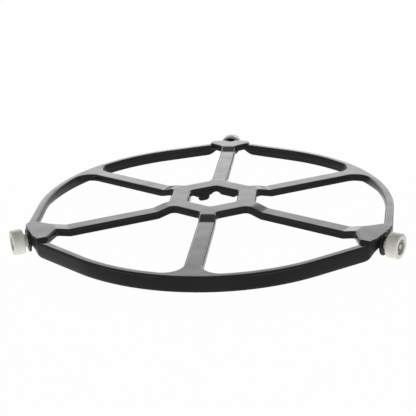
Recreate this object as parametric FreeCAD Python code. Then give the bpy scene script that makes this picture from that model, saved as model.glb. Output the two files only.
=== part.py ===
"""Turntable support: a pressed-steel spider that runs on three rollers.

The origin is on the hub's axis at floor level, +Z is up, and the rear roller lies on +Y.
Spokes are numbered anticlockwise from the front one (-Y); spokes 1, 3 and 5 carry the rollers.
"""
import FreeCAD, Part
import math
import os
from FreeCAD import Vector

os.makedirs("parts", exist_ok=True)

# Sheet and heights above the floor
sheet = 1.0
rim_top = 14.0
plateau_rise = 2.6
rim_flange_depth = 11.5
inner_flange_depth = 5.7
edge_bevel = 1.2
spoke_ramp_run = 10.0
pad_side_ramp_run = 1.8

# Rim and spokes, in plan
rim_radius = 145.0
rim_band = 6.5
spoke_width = 13.4
spoke_root_round = 13.0
window_corner_round = 5.0

# Hub, in plan
hub_side_distance = 35.2
hub_corner_reach = 40.4
drive_hole_corner_radius = 22.8
drive_hole_round = 4.0
collar_depth = 7.0
collar_relief_radius = 5.0
collar_relief_rise = 2.0
lug_width = 10.0
lug_depth = 11.0

# Roller pads, in plan: how far the face stands out from the rim, steps back from it, and half widths
pad_projection = 8.0
pad_corner_setback = 2.2
pad_heel_setback = 10.0
pad_depth = 20.4
pad_face_half_width = 10.0
pad_shoulder_width = 8.8
pad_bend_margin = 1.3
pad_corner_round = 5.0
pad_heel_overhang = 0.2
pad_heel_round = 4.0

# Relief under each pad's wall, and the round tab that holds the axle
relief_foot_half_width = 20.0
relief_top_half_width = 11.0
relief_height = 8.8
axle_tab_radius = 6.2

# Roller and its axle
roller_diameter = 19.0
roller_width = 8.8
roller_edge_bevel = 0.9
roller_boss_diameter = 10.0
roller_recess_diameter = 11.6
roller_recess_depth = 2.8
axle_diameter = 4.0
axle_running_clearance = 0.08
axle_hole_clearance = 0.05
axle_collar_diameter = 7.0
axle_collar_thickness = 0.8
axle_collar_clearance = 0.3
axle_end_setback = 0.6
rivet_head_diameter = 7.0
rivet_head_height = 1.3
rivet_head_bevel = 0.8
axle_end_bevel = 0.5
backing_washer_diameter = 10.0
backing_washer_thickness = 1.1
guard_disc_diameter = 17.8
guard_disc_thickness = 1.2
guard_gap = 0.3
boss_length = 2.9
thrust_washer_diameter = 8.6
thrust_washer_thickness = 0.5
thrust_gap = 0.15
clip_diameter = 9.4
clip_thickness = 0.8
clip_rim_width = 1.3
clip_slot_width = 0.8
clip_slots = 6

# Worked out from the sizes above
spoke_half = spoke_width / 2.0
rim_inner_radius = rim_radius - rim_band
plateau_top = rim_top + plateau_rise
axle_height = roller_diameter / 2.0
pad_reach = rim_radius + pad_projection
pad_corner_reach = pad_reach - pad_corner_setback
pad_heel_reach = pad_reach - pad_heel_setback
pad_inner_reach = pad_reach - pad_depth
pad_corner_half_width = pad_face_half_width + pad_shoulder_width
pad_bend_half_width = pad_corner_half_width - pad_bend_margin
pad_heel_half_width = pad_corner_half_width + pad_heel_overhang
roller_spokes = (1, 3, 5)
station_names = {1: "right", 3: "rear", 5: "left"}
below_everything = -5.0
ridge_half_length = 80.0
pad_crest_half_length = 30.0
collar_zone_radius = (drive_hole_corner_radius + hub_side_distance) / 2.0
lug_round = 3.0
relief_round = 1.5
sharp = 0.0
clip_grip_gap = 0.02

# Stations out along the axle's line
wall_start = pad_reach - sheet
washer_start = wall_start - backing_washer_thickness
guard_end = pad_reach + guard_disc_thickness
collar_end = guard_end + axle_collar_thickness
boss_start = guard_end + guard_gap
roller_start = boss_start + boss_length
roller_end = roller_start + roller_width
recess_floor = roller_end - roller_recess_depth
thrust_end = recess_floor + thrust_gap + thrust_washer_thickness


def spoke_angle(number):
    """Direction of a spoke in degrees from +X."""
    return -90.0 + 60.0 * number


def turned(item, degrees):
    """A copy of a shape turned about the hub's axis."""
    copy = item.copy()
    copy.rotate(Vector(0, 0, 0), Vector(0, 0, 1), degrees)
    return copy


def arc_edge(centre, start, end):
    """The shorter circular arc from start to end about centre."""
    radius = (start - centre).Length
    middle = (start + end) * 0.5 - centre
    middle.normalize()
    return Part.Arc(start, centre + middle * radius, end).toShape()


def rounded_run(points):
    """Edges along a polyline; each inner point is (vector, radius), rounded by that radius or sharp at 0."""
    edges = []
    last = points[0][0]
    for index in range(1, len(points) - 1):
        corner, radius = points[index]
        if not radius:
            edges.append(Part.makeLine(last, corner))
            last = corner
            continue
        back = points[index - 1][0] - corner
        ahead = points[index + 1][0] - corner
        half_turn = back.getAngle(ahead) / 2.0
        back.normalize()
        ahead.normalize()
        reach = radius / math.tan(half_turn)
        start = corner + back * reach
        end = corner + ahead * reach
        bisector = back + ahead
        bisector.normalize()
        centre = corner + bisector * (radius / math.sin(half_turn))
        edges.append(Part.makeLine(last, start))
        edges.append(arc_edge(centre, start, end))
        last = end
    edges.append(Part.makeLine(last, points[-1][0]))
    return edges


def tangent_point(radius, outside):
    """Where the tangent from a point outside touches a circle about the origin, on the far side from the X axis."""
    polar = math.atan2(outside.y, outside.x)
    swing = math.acos(radius / outside.Length)
    angle = polar + swing
    return Vector(radius * math.cos(angle), radius * math.sin(angle), 0)


def mirrored(point):
    return Vector(point.x, -point.y, point.z)


def outer_outline():
    """The rim's circle, flared by tangents into the three roller pads."""
    corner = Vector(pad_corner_reach, pad_corner_half_width, 0)
    face_end = Vector(pad_reach, pad_face_half_width, 0)
    touch = tangent_point(rim_radius, corner)
    run = rounded_run([
        (mirrored(touch), 0.0),
        (mirrored(corner), pad_corner_round),
        (mirrored(face_end), pad_corner_round),
        (face_end, pad_corner_round),
        (corner, pad_corner_round),
        (touch, 0.0),
    ])
    touch_angle = math.degrees(math.atan2(touch.y, touch.x))
    rim_arc = Part.makeCircle(rim_radius, Vector(0, 0, 0), Vector(0, 0, 1), touch_angle, 120.0 - touch_angle)
    edges = []
    for number in roller_spokes:
        for edge in run + [rim_arc]:
            edges.append(turned(edge, spoke_angle(number)))
    return Part.Wire(Part.__sortEdges__(edges))


def window_outline():
    """One window, on the left of a roller spoke that lies along +X; the plain spoke is at 60 degrees."""
    hub_root = Vector((hub_side_distance - spoke_half * 0.5) / math.cos(math.radians(30.0)), spoke_half, 0)
    pad_root = Vector(pad_inner_reach, spoke_half, 0)
    heel = Vector(pad_heel_reach, pad_heel_half_width, 0)
    touch = tangent_point(rim_inner_radius, heel)

    # The plain spoke's side is drawn along +X first, then turned to 60 degrees
    centre_off = spoke_half + spoke_root_round
    centre_out = math.sqrt((rim_inner_radius - spoke_root_round) ** 2 - centre_off ** 2)
    root_centre = Vector(centre_out, -centre_off, 0)
    on_spoke = Vector(centre_out, -spoke_half, 0)
    on_rim = root_centre * (rim_inner_radius / (rim_inner_radius - spoke_root_round))
    plain_hub_root = mirrored(hub_root)
    turn = FreeCAD.Rotation(Vector(0, 0, 1), 60.0)
    root_centre, on_spoke, on_rim, plain_hub_root = [
        turn.multVec(point) for point in (root_centre, on_spoke, on_rim, plain_hub_root)]

    hub_middle = (hub_root + plain_hub_root) * 0.5
    edges = rounded_run([
        (hub_middle, 0.0),
        (hub_root, window_corner_round),
        (pad_root, window_corner_round),
        (heel, pad_heel_round),
        (touch, 0.0),
    ])
    edges.append(arc_edge(Vector(0, 0, 0), touch, on_rim))
    edges.append(arc_edge(root_centre, on_rim, on_spoke))
    edges += rounded_run([
        (on_spoke, 0.0),
        (plain_hub_root, window_corner_round),
        (hub_middle, 0.0),
    ])
    return Part.Wire(Part.__sortEdges__(edges))


def drive_hole_outline():
    """Six-sided hole with rounded corners that point along the spokes."""
    corners = []
    for number in range(6):
        angle = math.radians(spoke_angle(number))
        corners.append(Vector(drive_hole_corner_radius * math.cos(angle),
                              drive_hole_corner_radius * math.sin(angle), 0))
    middle = (corners[-1] + corners[0]) * 0.5
    run = [(middle, 0.0)]
    run += [(corner, drive_hole_round) for corner in corners]
    run += [(middle, 0.0)]
    return Part.Wire(rounded_run(run))


def grown(wire, distance):
    """The wire moved outwards by distance, or inwards where it is negative."""
    if not distance:
        return wire
    return Part.Face(wire).makeOffset2D(distance).Wires[0]


def plan_face(depth):
    """The plan of the pressing with every wall drawn in by depth: outline, six windows and the drive hole."""
    window = grown(window_outline(), depth)
    twin = window.mirror(Vector(0, 0, 0), Vector(0, 1, 0))
    wires = [grown(outer_outline(), -depth), grown(drive_hole_outline(), depth)]
    for number in roller_spokes:
        wires.append(turned(window, spoke_angle(number)))
        wires.append(turned(twin, spoke_angle(number)))
    return Part.makeFace(wires, "Part::FaceMakerBullseye")


def block(wire, bottom, top):
    """The space inside a wire, from bottom to top."""
    solid = Part.Face(wire).extrude(Vector(0, 0, top - bottom))
    solid.translate(Vector(0, 0, bottom))
    return solid


def ridge(centre, crest_half_width, ramp_run, depth):
    """A flat-topped ridge along Y with sloping sides; depth moves its top and sides inwards by that much."""
    ramp_angle = math.atan2(plateau_rise, ramp_run)
    crest = crest_half_width - depth * math.tan(ramp_angle / 2.0)
    foot = crest + ramp_run
    low = rim_top - depth
    high = plateau_top - depth
    half = [(foot, below_everything), (foot, low), (crest, high)]
    points = [Vector(centre + x, -ridge_half_length, z) for x, z in half]
    points += [Vector(centre - x, -ridge_half_length, z) for x, z in reversed(half)]
    return Part.Face(Part.makePolygon(points + points[:1])).extrude(Vector(0, 2.0 * ridge_half_length, 0))


def rises(depth):
    """The raised places: the hub between ramps across its six spokes, and the three pads."""
    hub = ridge(0.0, hub_corner_reach, spoke_ramp_run, depth)
    hub = hub.common(turned(hub, 60.0)).common(turned(hub, 120.0))
    centre = pad_inner_reach + pad_crest_half_length
    side_ramps = turned(ridge(0.0, pad_bend_half_width, pad_side_ramp_run, depth), 90.0)
    side_ramps.translate(Vector(centre, 0, 0))
    pad = ridge(centre, pad_crest_half_length, spoke_ramp_run, depth).common(side_ramps)
    return [turned(hub, 30.0)] + [turned(pad, spoke_angle(number)) for number in roller_spokes]


def bevelled_plan(depth, bottom, top, bevel):
    """The plan drawn in by depth, from bottom to a flat top whose edges are bevelled all round."""
    solid = plan_face(depth).extrude(Vector(0, 0, top - bottom))
    solid.translate(Vector(0, 0, bottom))
    edges = [edge for edge in solid.Edges if edge.BoundBox.ZMin > top - 0.001]
    return solid.makeChamfer(bevel, edges)


def pressing(depth, bottom):
    """The pressing as a full block: the plan at rim height, and the hub and pads raised above it."""
    bevel = edge_bevel - depth * (2.0 - math.sqrt(2.0))
    flat = bevelled_plan(depth, bottom, rim_top - depth, bevel)
    raised = bevelled_plan(depth, bottom, plateau_top - depth, bevel)
    parts = [raised.common(rise) for rise in rises(depth)]
    return flat.fuse(parts).removeSplitter()


def closed_run(corners):
    """A closed wire of rounded corners; the first and the last corner are sharp."""
    return Part.Wire(rounded_run(corners) + [Part.makeLine(corners[-1][0], corners[0][0])])


def side_profile(points, start, end):
    """A prism along +X from start to end; points are (y, z, rounding) round its section."""
    corners = [(Vector(start, y, z), radius) for y, z, radius in points]
    return Part.Face(closed_run(corners)).extrude(Vector(end - start, 0, 0))


def inner_flange_trim():
    """What is cut from under all the walls but the rim's outer one, so that their depth stays even."""
    zone = block(grown(outer_outline(), -rim_band / 2.0), below_everything, plateau_top)
    zone = zone.cut(Part.makeCylinder(collar_zone_radius, plateau_top - below_everything,
                                      Vector(0, 0, below_everything)))
    lowered = [rise.translated(Vector(0, 0, -inner_flange_depth)) for rise in rises(0.0)]
    flat = Part.makeCylinder(rim_radius, rim_top - inner_flange_depth - below_everything,
                             Vector(0, 0, below_everything))
    return zone.common(flat.fuse(lowered)).removeSplitter()


def collar_trim():
    """What is cut from under the drive hole's collar, leaving three lugs and rounded corner reliefs."""
    collar_bottom = plateau_top - collar_depth
    lug_bottom = plateau_top - lug_depth
    trim = Part.makeCylinder(collar_zone_radius, collar_bottom - below_everything, Vector(0, 0, below_everything))
    lug = side_profile([
        (-lug_width / 2.0, collar_bottom, sharp),
        (-lug_width / 2.0, lug_bottom, lug_round),
        (lug_width / 2.0, lug_bottom, lug_round),
        (lug_width / 2.0, collar_bottom, sharp),
    ], 0.0, collar_zone_radius)
    for number in range(3):
        trim = trim.cut(turned(lug, 120.0 * number))
    relief = Part.makeCylinder(collar_relief_radius, collar_zone_radius,
                               Vector(0, 0, collar_bottom + collar_relief_rise - collar_relief_radius),
                               Vector(1, 0, 0))
    for number in range(6):
        trim = trim.fuse(turned(relief, spoke_angle(number)))
    return trim


def pad_relief():
    """What is cut from under a pad's outer wall on a spoke along +X, round the tab that holds the axle."""
    start = (pad_heel_reach + pad_corner_reach) / 2.0
    end = pad_reach + rim_band
    rise = side_profile([
        (-relief_foot_half_width, rim_top - rim_flange_depth, sharp),
        (-relief_top_half_width, relief_height, relief_round),
        (relief_top_half_width, relief_height, relief_round),
        (relief_foot_half_width, rim_top - rim_flange_depth, sharp),
        (0.0, below_everything, sharp),
    ], start, end)
    tab = Part.makeCylinder(axle_tab_radius, end - start, Vector(start, 0, axle_height), Vector(1, 0, 0))
    return rise.cut(tab)


def frame():
    """The pressed spider: a sheet of even thickness, open underneath."""
    shell = pressing(0.0, rim_top - rim_flange_depth).cut(pressing(sheet, below_everything))
    shell = shell.cut(inner_flange_trim()).cut(collar_trim())
    axle_hole = Part.makeCylinder(axle_diameter / 2.0 + axle_hole_clearance, rim_band,
                                  Vector(pad_reach - rim_band / 2.0, 0, axle_height), Vector(1, 0, 0))
    for number in roller_spokes:
        shell = shell.cut(turned(pad_relief(), spoke_angle(number)))
        shell = shell.cut(turned(axle_hole, spoke_angle(number)))
    return shell


def lathe(points):
    """A turned piece on the axle's line along +X; points are (distance out, radius, bevel)."""
    corners = []
    count = len(points)
    for index, (x, radius, bevel) in enumerate(points):
        corner = Vector(x, 0, axle_height + radius)
        for neighbour in (points[index - 1], points[(index + 1) % count]) if bevel else ():
            toward = Vector(neighbour[0], 0, axle_height + neighbour[1]) - corner
            toward.normalize()
            corners.append(corner + toward * bevel)
        if not bevel:
            corners.append(corner)
    face = Part.Face(Part.makePolygon(corners + corners[:1]))
    return face.revolve(Vector(0, 0, axle_height), Vector(1, 0, 0), 360.0)


def ring(start, end, outer_radius, inner_radius):
    """A washer-like ring between two distances out along the spoke."""
    return lathe([
        (start, inner_radius, 0.0),
        (start, outer_radius, 0.0),
        (end, outer_radius, 0.0),
        (end, inner_radius, 0.0),
    ])


def roller():
    """Plastic roller: hub boss towards the frame, bevelled tread, recess in the outer face."""
    bore = axle_diameter / 2.0 + axle_running_clearance
    counterbore = axle_collar_diameter / 2.0 + axle_collar_clearance
    boss = roller_boss_diameter / 2.0
    tread = roller_diameter / 2.0
    recess = roller_recess_diameter / 2.0
    return lathe([
        (boss_start, counterbore, 0.0),
        (boss_start, boss, 0.0),
        (roller_start, boss, 0.0),
        (roller_start, tread, roller_edge_bevel),
        (roller_end, tread, roller_edge_bevel),
        (roller_end, recess, 0.0),
        (recess_floor, recess, 0.0),
        (recess_floor, bore, 0.0),
        (collar_end + guard_gap, bore, 0.0),
        (collar_end + guard_gap, counterbore, 0.0),
    ])


def axle():
    """Steel axle: riveted head behind the wall, collar against the guard disc, plain journal."""
    journal = axle_diameter / 2.0
    head = rivet_head_diameter / 2.0
    collar = axle_collar_diameter / 2.0
    return lathe([
        (washer_start - rivet_head_height, 0.0, 0.0),
        (washer_start - rivet_head_height, head, rivet_head_bevel),
        (washer_start, head, 0.0),
        (washer_start, journal, 0.0),
        (guard_end, journal, 0.0),
        (guard_end, collar, 0.0),
        (collar_end, collar, 0.0),
        (collar_end, journal, 0.0),
        (roller_end - axle_end_setback, journal, axle_end_bevel),
        (roller_end - axle_end_setback, 0.0, 0.0),
    ])


def retaining_clip():
    """Push-on clip: a spring-steel ring whose slots part its inner teeth."""
    start = thrust_end + thrust_gap
    clip = ring(start, start + clip_thickness, clip_diameter / 2.0, axle_diameter / 2.0 + clip_grip_gap)
    slot_reach = clip_diameter / 2.0 - clip_rim_width
    slot = Part.makeBox(clip_thickness * 3.0, clip_slot_width, slot_reach,
                        Vector(start - clip_thickness, -clip_slot_width / 2.0, axle_height))
    for number in range(clip_slots):
        cutter = slot.copy()
        cutter.rotate(Vector(0, 0, axle_height), Vector(1, 0, 0), 360.0 / clip_slots * number)
        clip = clip.cut(cutter)
    return clip


def station_pieces():
    """The pieces of one roller station, on a spoke that lies along +X."""
    hole = axle_diameter / 2.0 + axle_hole_clearance
    return {
        "backing_washer": ring(washer_start, wall_start, backing_washer_diameter / 2.0, hole),
        "guard_disc": ring(pad_reach, guard_end, guard_disc_diameter / 2.0, hole),
        "axle": axle(),
        "roller": roller(),
        "thrust_washer": ring(recess_floor + thrust_gap, thrust_end, thrust_washer_diameter / 2.0, hole),
        "retaining_clip": retaining_clip(),
    }


def save(shape, name):
    shape.exportStep("parts/" + name + ".step")
    print(name, "valid", shape.isValid(), "solids", len(shape.Solids), "volume", round(shape.Volume, 1))


save(frame(), "frame")
pieces = station_pieces()
for number in roller_spokes:
    for name, shape in pieces.items():
        save(turned(shape, spoke_angle(number)), name + "_" + station_names[number])
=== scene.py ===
import math

import bmesh
import bpy
import numpy as np
from mathutils import Matrix, Vector


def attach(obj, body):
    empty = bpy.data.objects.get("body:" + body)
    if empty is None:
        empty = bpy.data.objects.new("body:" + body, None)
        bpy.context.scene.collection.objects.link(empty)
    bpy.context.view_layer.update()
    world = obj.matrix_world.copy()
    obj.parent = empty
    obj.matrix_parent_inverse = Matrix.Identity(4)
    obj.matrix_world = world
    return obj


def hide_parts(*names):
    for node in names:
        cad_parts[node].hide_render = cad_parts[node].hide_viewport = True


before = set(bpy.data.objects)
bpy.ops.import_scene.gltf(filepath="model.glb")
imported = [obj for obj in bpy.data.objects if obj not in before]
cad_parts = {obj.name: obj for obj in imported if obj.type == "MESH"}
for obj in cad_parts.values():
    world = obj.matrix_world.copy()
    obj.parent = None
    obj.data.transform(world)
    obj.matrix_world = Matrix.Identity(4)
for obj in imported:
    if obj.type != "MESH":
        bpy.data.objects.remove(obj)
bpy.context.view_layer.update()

MM = 0.001

# Pressed frame, in millimetres
SHEET = 1.0
EDGE_ROLL = 2.0
RIM_ROLL = 1.8
SHEET_EDGE_ROUND = 0.32
RIM_TOP = 14.0
PLATEAU_RISE = 2.6
RIM_WALL_FOOT = 2.5
INNER_WALL_DEPTH = 5.7
SPOKE_RAMP_RUN = 10.0
SPOKE_RAMP_EASE = 1.3
PAD_SIDE_RAMP_RUN = 1.8
SHORT_EASE = 0.5
RELIEF_EASE = 3.0
RIM_RADIUS = 145.0
RIM_INNER_RADIUS = 138.5
SPOKE_HALF = 6.7
SPOKE_ROOT_ROUND = 13.0
WINDOW_CORNER_ROUND = 5.0
HUB_SIDE = 35.2
HUB_CREST = 40.4
HOLE_CORNER = 22.8
HOLE_ROUND = 4.0
COLLAR_FOOT = 9.6
LUG_FOOT = 5.6
LUG_HALF = 5.0
LUG_ROUND = 3.0
CORNER_RELIEF = (5.0, 2.0)
PAD_CREST = 132.6
PAD_SIDE_CREST = 17.5
PAD_CORNER = (150.8, 18.8)
PAD_FACE = (153.0, 10.0)
PAD_ROUND = 5.0
PAD_HEEL = (143.0, 19.0)
PAD_HEEL_ROUND = 4.0
PAD_RELIEF = (20.0, 11.0, 8.8)
AXLE_TAB = 6.2
AXLE_HEIGHT = 9.5

# Stations out along an axle, in millimetres
HEAD_START = 149.6
WASHER_START = 150.9
DISC_START = 153.0
DISC_END = 154.2
BOSS_START = 154.5
COLLAR_END = 155.0
COUNTERBORE_END = 155.3
ROLLER_START = 157.4
RECESS_FLOOR = 163.4
AXLE_END = 165.6
ROLLER_END = 166.2

# Radii about an axle, in millimetres; the roller's own is the axle's height
BOSS_RADIUS = 5.0
RECESS_RADIUS = 5.8
BORE_RADIUS = 2.08
COUNTERBORE_RADIUS = 3.8
JOURNAL_RADIUS = 2.0
HEAD_RADIUS = 3.5
AXLE_COLLAR_RADIUS = 3.5
DISC_RADIUS = 8.9
DISC_HOLE_RADIUS = 2.05

# Lengths with close columns beside the hub, before the pad and along the pad's flare, in millimetres
HUB_RAMP_ZONE = 13.0
PAD_RAMP_ZONE = 10.0
PAD_STEP_ZONE = 9.0

# Columns on a side of the hub, in millimetres from its middle, closest about the lug's ends
LUG_COLUMNS = (0.0, 1.2, 2.0, 2.9, 3.7, 4.3, 4.7, 4.9, 5.0, 5.12, 6.4, 8.0)

# Where the rim's outline starts across a pad, in millimetres, and the angle at which it ends
OUTLINE_START = -5.0
OUTLINE_END = math.radians(64.0)

# Mesh details: steps in a rounding, and in metres the welding distance and the shortest edge that is kept
ROUNDING_STEPS = 5
WELD = 1e-6
SMALLEST_EDGE = 1e-8

# Smallest step between two points of an outline, in millimetres, and numbers that count as nothing
SAME_POINT = 1e-6
NEARLY_NOTHING = 1e-9
SMALLEST_CROSS = 1e-12

# Rows of the rim and of the hole in the table of reaches, which starts with the two spokes
AT_RIM = 2
AT_HOLE = 3

SPOKE_ANGLES = {"right": -30.0, "rear": 90.0, "left": 210.0}
HALF_TURN = math.pi
SIXTH_TURN = math.radians(60.0)

# Lit table and world: their glow on the object, how much of what is seen of the table is glow rather
# than shaded paint, and half the table's width in metres
TABLE_GLOW = 1.25
WORLD_GLOW = 0.17
TABLE_GLOW_SHARE = 0.985
TABLE_HALF = 6.0

# Finishes: each pair of tones is the darker and the lighter end of a slow mottling
ENAMEL_TONES = (0.003, 0.003, 0.0035), (0.008, 0.0075, 0.0075)
# Painted glints: a greyer tone speckled over the frame's lowest edges in place of their reflections
ENAMEL_PAINTED_GLINT = (0.06, 0.05, 0.045)
DARK_IOR = 1.28
PLASTIC_TONES = (0.64, 0.64, 0.555), (0.74, 0.74, 0.66)
PLASTIC_GRIME = (0.42, 0.39, 0.33)
DISC_TONES = (0.003, 0.003, 0.0035), (0.010, 0.009, 0.008)
STEEL_TONES = (0.34, 0.33, 0.31), (0.56, 0.55, 0.53)
SPRING_STEEL_TONES = (0.16, 0.16, 0.17), (0.30, 0.29, 0.29)
STEEL_ROUGHNESS = 0.34
SPRING_STEEL_ROUGHNESS = 0.38
TABLE_PAINT = (0.86, 0.86, 0.86, 1.0)

# Camera: the sensor's width and the lens in millimetres, the place in metres, the angles in degrees
SENSOR_WIDTH = 36.0
LENS = 73.77
CAMERA_PLACE = (0.0820, -0.6481, 0.26507)
CAMERA_AZIMUTH = 7.627
CAMERA_ELEVATION = 21.646
CAMERA_ROLL = -2.579


def direction(degrees):
    """Unit vector in plan at an angle from +X."""
    return np.array([math.cos(math.radians(degrees)), math.sin(math.radians(degrees))])


def straight(start, end, steps):
    """Points and normals along a line; the normal is the line's direction turned a quarter clockwise."""
    start, end = np.asarray(start, float), np.asarray(end, float)
    share = np.asarray(steps, float)[:, None]
    along = (end - start) / np.linalg.norm(end - start)
    points = start + share * (end - start)
    return points, np.tile([along[1], -along[0]], (len(points), 1))


def bend(centre, radius, first, last, count):
    """Points on a circle from one angle to another, with the normal away from the centre."""
    angles = np.linspace(first, last, count)
    normals = np.stack([np.cos(angles), np.sin(angles)], 1)
    return np.asarray(centre) + radius * normals, normals


def corner_bend(before, corner, after, radius, count):
    """The rounding of a left-turning corner: a circle that touches both sides."""
    before, corner, after = (np.asarray(p, float) for p in (before, corner, after))
    enter = (corner - before) / np.linalg.norm(corner - before)
    leave = (after - corner) / np.linalg.norm(after - corner)
    turn = math.acos(np.clip(enter @ leave, -1.0, 1.0))
    start = corner - enter * radius * math.tan(turn / 2.0)
    centre = start + radius * np.array([-enter[1], enter[0]])
    first = math.atan2(*(start - centre)[::-1])
    return bend(centre, radius, first, first + turn, count)


def chain(*runs):
    """Runs joined end to end, with the doubled points at the joins left out."""
    points = np.concatenate([run[0] for run in runs])
    normals = np.concatenate([run[1] for run in runs])
    step = np.linalg.norm(np.diff(points, axis=0), axis=1)
    keep = np.concatenate([[True], step > SAME_POINT])
    return points[keep], normals[keep]


def touch_angle(radius, outside):
    """Angle at which the tangent from an outside point meets a circle about the origin."""
    return math.atan2(outside[1], outside[0]) + math.acos(radius / math.hypot(*outside))


def rim_outline(inset):
    """Half of one third of the outer edge, drawn in by inset: from before a pad's middle to past 60 degrees."""
    touch = touch_angle(RIM_RADIUS, PAD_CORNER)
    on_rim = RIM_RADIUS * np.array([math.cos(touch), math.sin(touch)])
    face_bend = corner_bend((PAD_FACE[0], 0.0), PAD_FACE, PAD_CORNER, PAD_ROUND, 60)
    side_bend = corner_bend(PAD_FACE, PAD_CORNER, on_rim, PAD_ROUND, 60)
    runs = [
        straight((PAD_FACE[0], OUTLINE_START), face_bend[0][0], np.linspace(0, 1, 80)),
        face_bend,
        straight(face_bend[0][-1], side_bend[0][0], np.linspace(0, 1, 30)),
        side_bend,
        straight(side_bend[0][-1], on_rim, np.linspace(0, 1, 120)),
        bend((0.0, 0.0), RIM_RADIUS, touch, OUTLINE_END, 900),
    ]
    points, normals = chain(*runs)
    return points - inset * normals, normals


def hole_outline(inset):
    """One side of the six-sided hole with half a corner at each end, moved out into the metal by inset."""
    corners = [HOLE_CORNER * direction(angle) for angle in (120.0, 60.0, 0.0, -60.0)]
    bends = []
    for before, corner, after in zip(corners, corners[1:], corners[2:]):
        points, normals = corner_bend(before * [1, -1], corner * [1, -1], after * [1, -1], HOLE_ROUND, 60)
        bends.append((points * [1, -1], normals * [1, -1]))
    middle = straight(bends[0][0][-1], bends[1][0][0], np.linspace(0, 1, 60))
    points, normals = chain(bends[0], (middle[0], -middle[1]), bends[1])
    return points + inset * normals, -normals


def window_outline():
    """The window left of a roller spoke on +X, run anticlockwise; its normals point into the metal."""
    side = direction(30.0) * HUB_SIDE
    along = direction(120.0)
    root = np.array([(HUB_SIDE - SPOKE_HALF * 0.5) / math.cos(math.radians(30.0)), SPOKE_HALF])
    flip = np.array([[math.cos(SIXTH_TURN), math.sin(SIXTH_TURN)],
                     [math.sin(SIXTH_TURN), -math.cos(SIXTH_TURN)]])
    plain_root = flip @ root
    pad_root = np.array([PAD_CREST, SPOKE_HALF])
    touch = touch_angle(RIM_INNER_RADIUS, PAD_HEEL)
    on_rim = RIM_INNER_RADIUS * np.array([math.cos(touch), math.sin(touch)])

    fillet_side = SPOKE_HALF + SPOKE_ROOT_ROUND
    fillet_out = math.sqrt((RIM_INNER_RADIUS - SPOKE_ROOT_ROUND) ** 2 - fillet_side ** 2)
    fillet_centre = flip @ np.array([fillet_out, fillet_side])
    fillet_start = math.atan2(fillet_centre[1], fillet_centre[0])

    hub_bend = corner_bend(side, root, pad_root, WINDOW_CORNER_ROUND, 12)
    pad_bend = corner_bend(root, pad_root, PAD_HEEL, WINDOW_CORNER_ROUND, 26)
    heel_bend = corner_bend(pad_root, PAD_HEEL, on_rim, PAD_HEEL_ROUND, 26)
    plain_start = flip @ np.array([fillet_out, SPOKE_HALF])
    plain_bend = corner_bend(plain_start, plain_root, side, WINDOW_CORNER_ROUND, 12)
    lug_steps = np.array(LUG_COLUMNS)
    hub_out = (side - along * lug_steps[:, None], np.tile(-direction(30.0), (len(lug_steps), 1)))
    hub_back = (side + along * lug_steps[::-1][:, None], hub_out[1])
    spoke_start, spoke_end = hub_bend[0][-1], pad_bend[0][0]
    spoke_length = spoke_end[0] - spoke_start[0]
    ramp_steps = np.linspace(0.0, HUB_RAMP_ZONE, 24)
    level_steps = np.linspace(HUB_RAMP_ZONE, spoke_length - PAD_RAMP_ZONE, 26)[1:-1]
    pad_steps = spoke_length - np.linspace(PAD_RAMP_ZONE, 0.0, 18)
    roller_steps = np.concatenate([ramp_steps, level_steps, pad_steps]) / spoke_length
    roller_side = straight(spoke_start, spoke_end, roller_steps)
    plain_end = plain_bend[0][0]
    plain_length = np.linalg.norm(plain_end - plain_start)
    coarse = np.linspace(0.0, plain_length - HUB_RAMP_ZONE, 26)
    fine = plain_length - ramp_steps[::-1]
    plain_side = straight(plain_start, plain_end, np.concatenate([coarse, fine[1:]]) / plain_length)
    heel_end = heel_bend[0][-1]
    rim_start = np.linalg.norm(on_rim - heel_end)
    near_steps = np.linspace(0, PAD_STEP_ZONE, 19)
    flare_steps = np.concatenate([near_steps, np.linspace(PAD_STEP_ZONE, rim_start, 14)[1:]]) / rim_start
    return chain(
        hub_out,
        hub_bend,
        roller_side,
        pad_bend,
        straight(pad_bend[0][-1], heel_bend[0][0], np.linspace(0, 1, 20)),
        heel_bend,
        straight(heel_end, on_rim, flare_steps),
        bend((0.0, 0.0), RIM_INNER_RADIUS, touch, fillet_start, 30),
        bend(fillet_centre, SPOKE_ROOT_ROUND, fillet_start, math.radians(150.0), 16),
        plain_side,
        plain_bend,
        hub_back,
    )


def meet(points, normals, line, line_normals):
    """How far each ray runs before it crosses a polyline, infinite where it misses, and the normal there.

    Ray and side are two lines: each share of the way is a cross product over the cross product of their runs.
    """
    start, run = line[:-1], np.diff(line, axis=0)
    cross = normals[:, None, 0] * run[None, :, 1] - normals[:, None, 1] * run[None, :, 0]
    gap = start[None] - points[:, None]
    cross = np.where(np.abs(cross) < SMALLEST_CROSS, SMALLEST_CROSS, cross)
    reach = (gap[..., 0] * run[None, :, 1] - gap[..., 1] * run[None, :, 0]) / cross
    share = (gap[..., 0] * normals[:, None, 1] - gap[..., 1] * normals[:, None, 0]) / cross
    reach = np.where((share >= 0.0) & (share <= 1.0) & (reach > 0.0), reach, np.inf)
    best = reach.argmin(1)
    rows = np.arange(len(points))
    mix = share[rows, best][:, None]
    normal = line_normals[best] * (1.0 - mix) + line_normals[best + 1] * mix
    normal /= np.linalg.norm(normal, axis=1)[:, None]
    return reach[rows, best], normal


def eased(run, length, soft):
    """0 below nothing, 1 from length on, a straight slope between; soft is how far each bend is rounded."""
    def level(value):
        """The positive part of a value, its bend rounded over by a piece of a parabola."""
        curve = (value + soft) ** 2 / (4.0 * soft)
        return np.where(value <= -soft, 0.0, np.where(value >= soft, value, curve))
    return (level(run) - level(run - length)) / length


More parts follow.
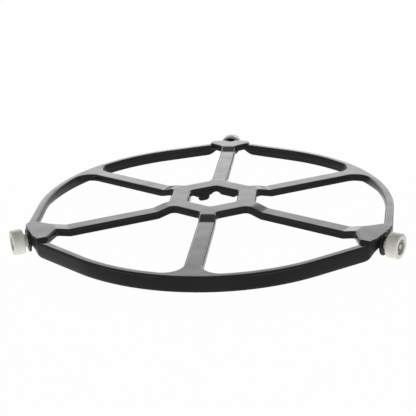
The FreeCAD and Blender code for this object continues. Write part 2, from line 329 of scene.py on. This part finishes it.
def skin_height(x, y):
    """Height of the top skin: the rim's level, raised on the hub and on the pad by eased ramps."""
    out = np.maximum(x, 0.5 * x + math.sin(SIXTH_TURN) * y)
    hub = 1.0 - eased(out - HUB_CREST, SPOKE_RAMP_RUN, SPOKE_RAMP_EASE)
    inward = eased(x - (PAD_CREST - SPOKE_RAMP_RUN), SPOKE_RAMP_RUN, SPOKE_RAMP_EASE)
    sideways = 1.0 - eased(np.abs(y) - PAD_SIDE_CREST, PAD_SIDE_RAMP_RUN, SHORT_EASE)
    return RIM_TOP + PLATEAU_RISE * np.maximum(hub, np.minimum(inward, sideways))


def rim_wall_foot(y):
    """Lower edge of the outer wall: level, raised over a pad's middle, with a round tab about the axle."""
    wide, narrow, top = PAD_RELIEF
    raised = 1.0 - eased(np.abs(y) - narrow, wide - narrow, RELIEF_EASE)
    relieved = RIM_WALL_FOOT + (top - RIM_WALL_FOOT) * raised
    tab = AXLE_HEIGHT - np.sqrt(np.maximum(AXLE_TAB ** 2 - y ** 2, 0.0))
    return np.where(np.abs(y) < AXLE_TAB, np.minimum(relieved, tab), relieved)


def collar_foot(side_shift, corner_shift, with_lug):
    """Lower edge of the hole's collar: level, arched up at the corners, with a rounded lug where asked."""
    radius, rise = CORNER_RELIEF
    arch = COLLAR_FOOT + rise - radius + np.sqrt(np.maximum(radius ** 2 - corner_shift ** 2, 0.0))
    foot = np.maximum(COLLAR_FOOT, np.where(np.abs(corner_shift) < radius, arch, COLLAR_FOOT))
    if with_lug:
        past = np.clip(np.abs(side_shift) - (LUG_HALF - LUG_ROUND), 0.0, LUG_ROUND)
        lug = LUG_FOOT + LUG_ROUND - np.sqrt(LUG_ROUND ** 2 - past ** 2)
        foot = np.where(np.abs(side_shift) <= LUG_HALF + 0.001, lug, foot)
    return foot


def edge_section(depth, rolled):
    """Section of a turned-down edge: distance in from the edge and height below the skin, in columns.

    It runs from under the skin round the inner bend, down the wall's back, round its foot, up its face and
    over the outer bend, a quarter circle whose radius is rolled. Each column has a depth of its own.
    """
    depth = np.asarray(depth, float)
    inner = rolled - SHEET
    turn = np.linspace(0.5 * HALF_TURN, HALF_TURN, 5)[:, None] + 0.0 * depth
    bend_in = (rolled + inner * np.cos(turn), -rolled + inner * np.sin(turn))
    foot_turn = np.linspace(0.0, HALF_TURN, 7)[:, None] + 0.0 * depth
    half = SHEET / 2.0
    foot = (half + half * np.cos(foot_turn), -depth + SHEET_EDGE_ROUND * (1.0 - np.sin(foot_turn)))
    out_turn = np.linspace(HALF_TURN, 0.5 * HALF_TURN, 8)[:, None] + 0.0 * depth
    roll = (rolled + rolled * np.cos(out_turn), -rolled + rolled * np.sin(out_turn))
    middle = 0.5 * (foot[1][-1:] + roll[1][:1])
    wall = (0.0 * middle, middle)
    return (np.concatenate([bend_in[0], foot[0], wall[0], roll[0]]),
            np.concatenate([bend_in[1], foot[1], wall[1], roll[1]]))


def grid_faces(rows, columns, closed):
    """Corner numbers of a grid's four-sided faces; closed joins its last column to the first."""
    number = np.arange(rows * columns).reshape(rows, columns)
    right = np.roll(number, -1, axis=1)
    if not closed:
        number, right = number[:, :-1], right[:, :-1]
    return np.stack([number[:-1], right[:-1], right[1:], number[1:]], -1).reshape(-1, 4)


def window_grids(with_lug):
    """Grids of one sixth of the frame: the skin round a window, and the rim's and collar's edges beside it.

    From each point of the window's outline a ray runs along the normal to what it meets first: the middle
    line of a spoke, the rim's outline or the hole's. The skin's rows are shares of that ray.
    """
    points, normals = window_outline()
    rim, rim_normals = rim_outline(RIM_ROLL)
    hole, hole_normals = hole_outline(EDGE_ROLL)
    plain_normal = np.array([-math.sin(SIXTH_TURN), math.cos(SIXTH_TURN)])
    with np.errstate(divide="ignore", invalid="ignore"):
        to_roller = np.where(normals[:, 1] < -NEARLY_NOTHING, -points[:, 1] / normals[:, 1], np.inf)
        lean = normals @ plain_normal
        to_plain = np.where(lean > NEARLY_NOTHING, -(points @ plain_normal) / lean, np.inf)
    to_rim, at_rim = meet(points, normals, rim, rim_normals)
    to_hole, at_hole = meet(points, normals, hole, hole_normals)
    reach = np.stack([to_roller, to_plain, to_rim, to_hole])
    kind = reach.argmin(0)
    ends = points + normals * reach.min(0)[:, None]

    plain = direction(60.0)
    rim_at = [np.array([PAD_FACE[0] - RIM_ROLL, 0.0]), plain * (RIM_RADIUS - RIM_ROLL)]
    tip = float(np.linalg.norm(hole, axis=1).max())
    hole_at = [np.array([tip, 0.0]), plain * tip]
    on_rim, on_hole = kind == AT_RIM, kind == AT_HOLE
    exact_corners = [
        (rim_at[0], on_rim, at_rim, [1.0, 0.0]),
        (rim_at[1], on_rim, at_rim, plain),
        (hole_at[0], on_hole, at_hole, [-1.0, 0.0]),
        (hole_at[1], on_hole, at_hole, -plain),
    ]
    for corner, mark, store, normal in exact_corners:
        nearest = np.linalg.norm(ends - corner, axis=1).argmin()
        ends[nearest] = corner
        store[nearest] = normal
        mark[nearest] = True

    span = ends - points
    length = np.linalg.norm(span, axis=1)
    unit = span / length[:, None]
    skin_at = skin_height(points[:, 0], points[:, 1])
    inward, below = edge_section(np.full(len(points), INNER_WALL_DEPTH), EDGE_ROLL)
    across = np.linspace(0.0, 1.0, 16)[1:, None]
    under = np.linspace(0.0, 1.0, 8)[:-1, None]
    far = EDGE_ROLL + across * (length - EDGE_ROLL)
    near = length - under * (length - EDGE_ROLL)
    inward = np.concatenate([near, inward, far])
    below = np.concatenate([np.full(near.shape, -SHEET), below, np.zeros(far.shape)])
    x = points[:, 0] + inward * unit[:, 0]
    y = points[:, 1] + inward * unit[:, 1]
    skin = np.where(below < -EDGE_ROLL - NEARLY_NOTHING, skin_at, skin_height(x, y))
    grids = [(np.stack([x, y, skin + below], -1), True)]

    edges = [(on_rim, at_rim, None, RIM_ROLL), (on_hole, at_hole, with_lug, EDGE_ROLL)]
    for mark, at, foot, rolled in edges:
        columns = np.flatnonzero(mark)
        gap = np.flatnonzero(np.diff(columns) > 1)
        if len(gap):
            columns = np.roll(columns, -(gap[0] + 1))
        normal = at[columns]
        edge = ends[columns] + normal * rolled
        skin_at = skin_height(edge[:, 0], edge[:, 1])
        if foot is None:
            level = rim_wall_foot(edge[:, 1])
        else:
            side_shift = edge @ direction(120.0)
            angle = np.arctan2(edge[:, 1], edge[:, 0])
            size = np.linalg.norm(edge, axis=1)
            off_axis = np.abs(np.sin(angle)), np.abs(np.sin(angle - SIXTH_TURN))
            corner_shift = size * np.minimum(*off_axis)
            level = collar_foot(side_shift, corner_shift, foot)
        inward, below = edge_section(skin_at - level, rolled)
        x = edge[:, 0] - inward * normal[:, 0]
        y = edge[:, 1] - inward * normal[:, 1]
        skin = np.where(below < -rolled - NEARLY_NOTHING, skin_at, skin_height(x, y))
        grids.append((np.stack([x, y, skin + below], -1)[::-1], False))
    return grids


def pressed_frame():
    """The whole frame: the sixth beside a roller spoke and its mirror image, at each roller spoke."""
    vertices, faces, count = [], [], 0
    for angle in SPOKE_ANGLES.values():
        for mirror in (1.0, -1.0):
            centre = angle + 30.0 * mirror
            with_lug = round(centre) % 120 == 0
            turn = np.array([direction(angle), direction(angle + 90.0)])
            for grid, closed in window_grids(with_lug):
                flat = grid.reshape(-1, 3) * [1.0, mirror, 1.0]
                flat[:, :2] = flat[:, :2] @ turn
                corner = grid_faces(*grid.shape[:2], closed)
                vertices.append(flat)
                faces.append((corner if mirror > 0 else corner[:, ::-1]) + count)
                count += len(flat)
    return np.concatenate(vertices), np.concatenate(faces)


def new_piece(name, vertices, faces, material):
    """A mesh object from arrays in millimetres, welded, its faces turned outwards and shaded smooth."""
    mesh = bpy.data.meshes.new(name)
    mesh.from_pydata((vertices * MM).tolist(), [], faces.tolist())
    shape = bmesh.new()
    shape.from_mesh(mesh)
    bmesh.ops.remove_doubles(shape, verts=shape.verts, dist=WELD)
    bmesh.ops.dissolve_degenerate(shape, edges=shape.edges, dist=SMALLEST_EDGE)
    bmesh.ops.recalc_face_normals(shape, faces=shape.faces)
    shape.to_mesh(mesh)
    shape.free()
    mesh.polygons.foreach_set("use_smooth", np.ones(len(mesh.polygons), bool))
    piece = bpy.data.objects.new(name, mesh)
    bpy.context.scene.collection.objects.link(piece)
    mesh.materials.append(material)
    return piece


def rounded_profile(corners):
    """A closed run of corners (distance out, radius, rounding), each rounding an arc that touches both sides.

    An arc's centre lies on the line that halves the corner, rounding over the sine of half its angle away.
    """
    shape = []
    total = len(corners)
    for index, (out, radius, rounding) in enumerate(corners):
        here = np.array([out, radius])
        if rounding <= 0.0:
            shape.append(here[None])
            continue
        back = np.array(corners[index - 1][:2]) - here
        ahead = np.array(corners[(index + 1) % total][:2]) - here
        back, ahead = back / np.linalg.norm(back), ahead / np.linalg.norm(ahead)
        half = math.acos(np.clip(back @ ahead, -1.0, 1.0)) / 2.0
        middle = (back + ahead) / np.linalg.norm(back + ahead)
        centre = here + middle * rounding / math.sin(half)
        first = here + back * rounding / math.tan(half) - centre
        last = here + ahead * rounding / math.tan(half) - centre
        start = math.atan2(first[1], first[0])
        turn = (math.atan2(last[1], last[0]) - start + HALF_TURN) % (2.0 * HALF_TURN) - HALF_TURN
        angles = start + np.linspace(0.0, turn, ROUNDING_STEPS + 1)
        shape.append(centre + rounding * np.stack([np.cos(angles), np.sin(angles)], 1))
    return np.concatenate(shape)


def turned_piece(name, side, corners, material, around=96):
    """A piece turned about its axle: its profile, distance out and radius, carried round the axle's line.

    Across the axle a point lies at radius times cosine, and above it at radius times sine.
    """
    profile = rounded_profile(corners)
    angles = np.linspace(0.0, 2.0 * HALF_TURN, around, endpoint=False)
    out = np.tile(profile[:, 0:1], (1, around))
    across = profile[:, 1:2] * np.cos(angles)
    up = AXLE_HEIGHT + profile[:, 1:2] * np.sin(angles)
    spoke, aside = direction(SPOKE_ANGLES[side]), direction(SPOKE_ANGLES[side] + 90.0)
    x = out * spoke[0] + across * aside[0]
    y = out * spoke[1] + across * aside[1]
    vertices = np.stack([x, y, up], -1)
    vertices = np.concatenate([vertices, vertices[:1]]).reshape(-1, 3)
    faces = grid_faces(len(profile) + 1, around, True)
    return new_piece(name, vertices, faces, material)


def roller_corners():
    """Roller: boss towards the frame, tread with rounded edges, recess in the outer face."""
    return [
        (BOSS_START, COUNTERBORE_RADIUS, 0.2),
        (BOSS_START, BOSS_RADIUS, 0.4),
        (ROLLER_START, BOSS_RADIUS, 0.3),
        (ROLLER_START, AXLE_HEIGHT, 1.0),
        (ROLLER_END, AXLE_HEIGHT, 1.2),
        (ROLLER_END, RECESS_RADIUS, 0.5),
        (RECESS_FLOOR, RECESS_RADIUS, 0.3),
        (RECESS_FLOOR, BORE_RADIUS, 0.15),
        (COUNTERBORE_END, BORE_RADIUS, 0.0),
        (COUNTERBORE_END, COUNTERBORE_RADIUS, 0.0),
    ]


def axle_corners():
    """Axle: domed rivet head behind the wall, journal, collar against the disc, rounded outer end."""
    return [
        (HEAD_START, 0.0, 0.0),
        (HEAD_START, HEAD_RADIUS, 1.0),
        (WASHER_START, HEAD_RADIUS, 0.1),
        (WASHER_START, JOURNAL_RADIUS, 0.0),
        (DISC_END, JOURNAL_RADIUS, 0.0),
        (DISC_END, AXLE_COLLAR_RADIUS, 0.15),
        (COLLAR_END, AXLE_COLLAR_RADIUS, 0.15),
        (COLLAR_END, JOURNAL_RADIUS, 0.0),
        (AXLE_END, JOURNAL_RADIUS, 0.45),
        (AXLE_END, 0.0, 0.0),
    ]


def disc_corners():
    """Guard disc: thin, with a rounded rim."""
    return [
        (DISC_START, DISC_HOLE_RADIUS, 0.0),
        (DISC_START, DISC_RADIUS, 0.3),
        (DISC_END, DISC_RADIUS, 0.4),
        (DISC_END, DISC_HOLE_RADIUS, 0.0),
    ]


def finish_tree(name):
    """A new material with its shader, its node tree and an Object-coordinate source."""
    material = bpy.data.materials.new(name)
    material.use_nodes = True
    tree = material.node_tree
    shader = tree.nodes["Principled BSDF"]
    place = tree.nodes.new("ShaderNodeTexCoord").outputs["Object"]
    return material, tree, shader, place


def noise(tree, place, scale, detail=2.0, roughness=0.5):
    """A noise pattern on a place; scale is in repeats to the metre."""
    node = tree.nodes.new("ShaderNodeTexNoise")
    node.inputs["Scale"].default_value = scale
    node.inputs["Detail"].default_value = detail
    node.inputs["Roughness"].default_value = roughness
    tree.links.new(place, node.inputs["Vector"])
    return node.outputs["Fac"]


def ramp(tree, value, stops):
    """A colour ramp over a value; stops are (position, colour)."""
    node = tree.nodes.new("ShaderNodeValToRGB")
    while len(node.color_ramp.elements) < len(stops):
        node.color_ramp.elements.new(0.5)
    for element, (position, colour) in zip(node.color_ramp.elements, stops):
        element.position = position
        element.color = (*colour, 1.0) if len(colour) == 3 else colour
    tree.links.new(value, node.inputs["Fac"])
    return node.outputs["Color"]


def spread(tree, value, low, high, to_low, to_high):
    """A value moved from one range to another and held inside it."""
    node = tree.nodes.new("ShaderNodeMapRange")
    for socket, number in (("From Min", low), ("From Max", high), ("To Min", to_low), ("To Max", to_high)):
        node.inputs[socket].default_value = number
    tree.links.new(value, node.inputs["Value"])
    return node.outputs["Result"]


def blended(tree, share, first, second):
    """Two colours mixed by a share; each is a socket or a fixed colour."""
    node = tree.nodes.new("ShaderNodeMix")
    node.data_type = "RGBA"
    tree.links.new(share, node.inputs["Factor"])
    for name, colour in (("A", first), ("B", second)):
        socket = [s for s in node.inputs if s.name == name and s.type == "RGBA"][0]
        if isinstance(colour, tuple):
            socket.default_value = (*colour, 1.0)
        else:
            tree.links.new(colour, socket)
    return [s for s in node.outputs if s.type == "RGBA"][0]


def relief(tree, layers):
    """Bump layers laid on one another; each is (height socket, strength, distance in metres)."""
    last = None
    for height, strength, distance in layers:
        node = tree.nodes.new("ShaderNodeBump")
        node.inputs["Strength"].default_value = strength
        node.inputs["Distance"].default_value = distance
        tree.links.new(height, node.inputs["Height"])
        if last is not None:
            tree.links.new(last, node.inputs["Normal"])
        last = node.outputs["Normal"]
    return last


def height_of(tree, place):
    """The Z of a place."""
    node = tree.nodes.new("ShaderNodeSeparateXYZ")
    tree.links.new(place, node.inputs["Vector"])
    return node.outputs["Z"]


def black_enamel():
    """Glossy vitreous enamel on pressed steel: slow waves, a fine orange peel, and greyer speckles painted on
    the lowest edges as glints.
    """
    material, tree, shader, place = finish_tree("black_enamel")
    cloud = noise(tree, place, 28.0, 3.0)
    tone = ramp(tree, cloud, [(0.3, ENAMEL_TONES[0]), (0.7, ENAMEL_TONES[1])])
    # Painted glints: greyer speckles over the lowest few millimetres of the frame
    low = spread(tree, height_of(tree, place), 0.0025, 0.0045, 1.0, 0.0)
    glint_speck = spread(tree, noise(tree, place, 900.0, 2.0), 0.5, 0.62, 0.0, 1.0)
    painted_glint_mask = tree.nodes.new("ShaderNodeMath")
    painted_glint_mask.operation = "MULTIPLY"
    tree.links.new(low, painted_glint_mask.inputs[0])
    tree.links.new(glint_speck, painted_glint_mask.inputs[1])
    tree.links.new(blended(tree, painted_glint_mask.outputs[0], tone, ENAMEL_PAINTED_GLINT), shader.inputs["Base Color"])
    rough = spread(tree, noise(tree, place, 60.0, 4.0), 0.3, 0.7, 0.09, 0.17)
    tree.links.new(rough, shader.inputs["Roughness"])
    shader.inputs["IOR"].default_value = DARK_IOR
    waves = noise(tree, place, 42.0, 1.0)
    peel = noise(tree, place, 620.0, 1.0)
    tree.links.new(relief(tree, [(waves, 0.5, 0.0012), (peel, 0.10, 0.0002)]), shader.inputs["Normal"])
    return material


def roller_plastic():
    """Cream heat-proof plastic: soft mottling, a fine bumpy surface and a little grime."""
    material, tree, shader, place = finish_tree("cream_plastic")
    tones = [(0.3, PLASTIC_TONES[0]), (0.7, PLASTIC_TONES[1])]
    tone = ramp(tree, noise(tree, place, 160.0, 3.0), tones)
    grime = spread(tree, noise(tree, place, 420.0, 4.0, 0.6), 0.58, 0.75, 0.0, 0.5)
    tree.links.new(blended(tree, grime, tone, PLASTIC_GRIME), shader.inputs["Base Color"])
    rough = spread(tree, noise(tree, place, 300.0, 2.0), 0.3, 0.7, 0.38, 0.52)
    tree.links.new(rough, shader.inputs["Roughness"])
    fine = noise(tree, place, 1500.0, 2.0)
    slow = noise(tree, place, 220.0, 1.0)
    tree.links.new(relief(tree, [(slow, 0.2, 0.0003), (fine, 0.12, 0.0001)]), shader.inputs["Normal"])
    return material


def bare_steel(name, dark, light, rough):
    """Turned steel: uneven tone, fine tool marks and a dulled sheen."""
    material, tree, shader, place = finish_tree(name)
    tone = ramp(tree, noise(tree, place, 500.0, 4.0, 0.6), [(0.3, dark), (0.7, light)])
    tree.links.new(tone, shader.inputs["Base Color"])
    tree.links.new(spread(tree, noise(tree, place, 900.0, 3.0), 0.3, 0.7, rough - 0.08, rough + 0.1),
                   shader.inputs["Roughness"])
    shader.inputs["Metallic"].default_value = 1.0
    marks = noise(tree, place, 2600.0, 2.0)
    tree.links.new(relief(tree, [(marks, 0.15, 0.00008)]), shader.inputs["Normal"])
    return material


def dark_disc():
    """Blackened steel disc: satin, with a faint brown bloom and fine grain."""
    material, tree, shader, place = finish_tree("blackened_steel")
    tones = [(0.35, DISC_TONES[0]), (0.7, DISC_TONES[1])]
    tree.links.new(ramp(tree, noise(tree, place, 260.0, 4.0), tones), shader.inputs["Base Color"])
    rough = spread(tree, noise(tree, place, 700.0, 3.0), 0.3, 0.7, 0.32, 0.5)
    tree.links.new(rough, shader.inputs["Roughness"])
    shader.inputs["IOR"].default_value = DARK_IOR
    tree.links.new(relief(tree, [(noise(tree, place, 1800.0, 2.0), 0.15, 0.0001)]), shader.inputs["Normal"])
    return material


def set_finish(node, material):
    """A carried-over CAD node shown in a better material."""
    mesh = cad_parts[node].data
    mesh.materials.clear()
    mesh.materials.append(material)


enamel = black_enamel()
plastic = roller_plastic()
steel = bare_steel("turned_steel", *STEEL_TONES, STEEL_ROUGHNESS)
spring_steel = bare_steel("spring_steel", *SPRING_STEEL_TONES, SPRING_STEEL_ROUGHNESS)
disc_finish = dark_disc()

spider = new_piece("pressed_frame", *pressed_frame(), enamel)
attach(spider, "spider")
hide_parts("frame")

for side in SPOKE_ANGLES:
    disc = turned_piece("guard_disc_turned_" + side, side, disc_corners(), disc_finish)
    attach(disc, "spider")
    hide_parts("guard_disc_" + side)
    pin = turned_piece("axle_turned_" + side, side, axle_corners(), steel, around=64)
    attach(pin, "spider")
    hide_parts("axle_" + side)
    wheel = turned_piece("roller_turned_" + side, side, roller_corners(), plastic)
    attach(wheel, "roller_" + side)
    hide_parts("roller_" + side)
    set_finish("backing_washer_" + side, steel)
    set_finish("thrust_washer_" + side, steel)
    set_finish("retaining_clip_" + side, spring_steel)


def pale_floor():
    """A wide lit table: it lights the object from below, looks nearly white and keeps a faint shadow."""
    mesh = bpy.data.meshes.new("floor")
    signs = [(-1.0, -1.0), (1.0, -1.0), (1.0, 1.0), (-1.0, 1.0)]
    mesh.from_pydata([(x * TABLE_HALF, y * TABLE_HALF, 0.0) for x, y in signs], [], [(0, 1, 2, 3)])
    floor = bpy.data.objects.new("floor", mesh)
    bpy.context.scene.collection.objects.link(floor)
    material = bpy.data.materials.new("pale_floor")
    material.use_nodes = True
    tree = material.node_tree
    shader = tree.nodes["Principled BSDF"]
    shader.inputs["Base Color"].default_value = TABLE_PAINT
    shader.inputs["Roughness"].default_value = 0.9
    shader.inputs["Specular IOR Level"].default_value = 0.1
    glow = tree.nodes.new("ShaderNodeEmission")
    tree.links.new(spread(tree, seen_ray(tree), 0.0, 1.0, TABLE_GLOW, 1.0), glow.inputs["Strength"])
    mix = tree.nodes.new("ShaderNodeMixShader")
    mix.inputs["Fac"].default_value = TABLE_GLOW_SHARE
    tree.links.new(shader.outputs[0], mix.inputs[1])
    tree.links.new(glow.outputs[0], mix.inputs[2])
    tree.links.new(mix.outputs[0], tree.nodes["Material Output"].inputs["Surface"])
    mesh.materials.append(material)


def seen_ray(tree):
    """1 for rays from the camera and for mirrored and refracted ones: gloss shows the same background."""
    path = tree.nodes.new("ShaderNodeLightPath")
    total = path.outputs["Is Camera Ray"]
    for name in ("Is Glossy Ray", "Is Transmission Ray"):
        node = tree.nodes.new("ShaderNodeMath")
        node.operation = "MAXIMUM"
        tree.links.new(total, node.inputs[0])
        tree.links.new(path.outputs[name], node.inputs[1])
        total = node.outputs[0]
    return total


def studio_world():
    """A soft even world that is white where it is seen."""
    world = bpy.data.worlds.new("studio")
    bpy.context.scene.world = world
    world.use_nodes = True
    tree = world.node_tree
    back = tree.nodes["Background"]
    back.inputs["Color"].default_value = (1.0, 1.0, 1.0, 1.0)
    tree.links.new(spread(tree, seen_ray(tree), 0.0, 1.0, WORLD_GLOW, 1.0), back.inputs["Strength"])


def soft_box(name, place, size, power, colour=(1.0, 1.0, 1.0)):
    """A rectangular studio lamp at a place in metres, turned to the object's middle."""
    lamp = bpy.data.lights.new(name, "AREA")
    lamp.shape = "RECTANGLE"
    lamp.size, lamp.size_y = size
    lamp.energy = power
    lamp.color = colour
    holder = bpy.data.objects.new(name, lamp)
    bpy.context.scene.collection.objects.link(holder)
    holder.location = place
    holder.rotation_mode = "QUATERNION"
    holder.rotation_quaternion = (-Vector(place)).to_track_quat("-Z", "Y")


def photograph_camera(place, azimuth, elevation, roll, lens):
    """The camera at its place, looking along an azimuth and down an elevation, then rolled."""
    a, e, r = (math.radians(value) for value in (azimuth, elevation, roll))
    ahead = Vector((-math.sin(a) * math.cos(e), math.cos(a) * math.cos(e), -math.sin(e)))
    level = Vector((math.cos(a), math.sin(a), 0.0))
    up = level.cross(ahead)
    right = level * math.cos(r) + up * math.sin(r)
    top = right.cross(ahead)
    data = bpy.data.cameras.new("photograph_camera")
    data.sensor_width = SENSOR_WIDTH
    data.lens = lens
    camera = bpy.data.objects.new("photograph_camera", data)
    bpy.context.scene.collection.objects.link(camera)
    turn = Matrix((right, top, -ahead)).transposed().to_4x4()
    camera.matrix_world = Matrix.Translation(Vector(place)) @ turn
    bpy.context.scene.camera = camera


pale_floor()
studio_world()
soft_box("back_panel", (-0.15, 1.5, 0.62), (2.4, 0.9), 18.5, (0.97, 0.97, 1.0))
soft_box("top_panel", (0.1, 0.1, 1.5), (1.2, 1.2), 1.0)
soft_box("left_panel", (-0.9, -1.0, 0.16), (0.9, 0.3), 2.0)
soft_box("right_panel", (0.9, -1.0, 0.16), (0.9, 0.3), 2.0)
photograph_camera(CAMERA_PLACE, CAMERA_AZIMUTH, CAMERA_ELEVATION, CAMERA_ROLL, LENS)
bpy.context.scene.view_settings.view_transform = "Standard"
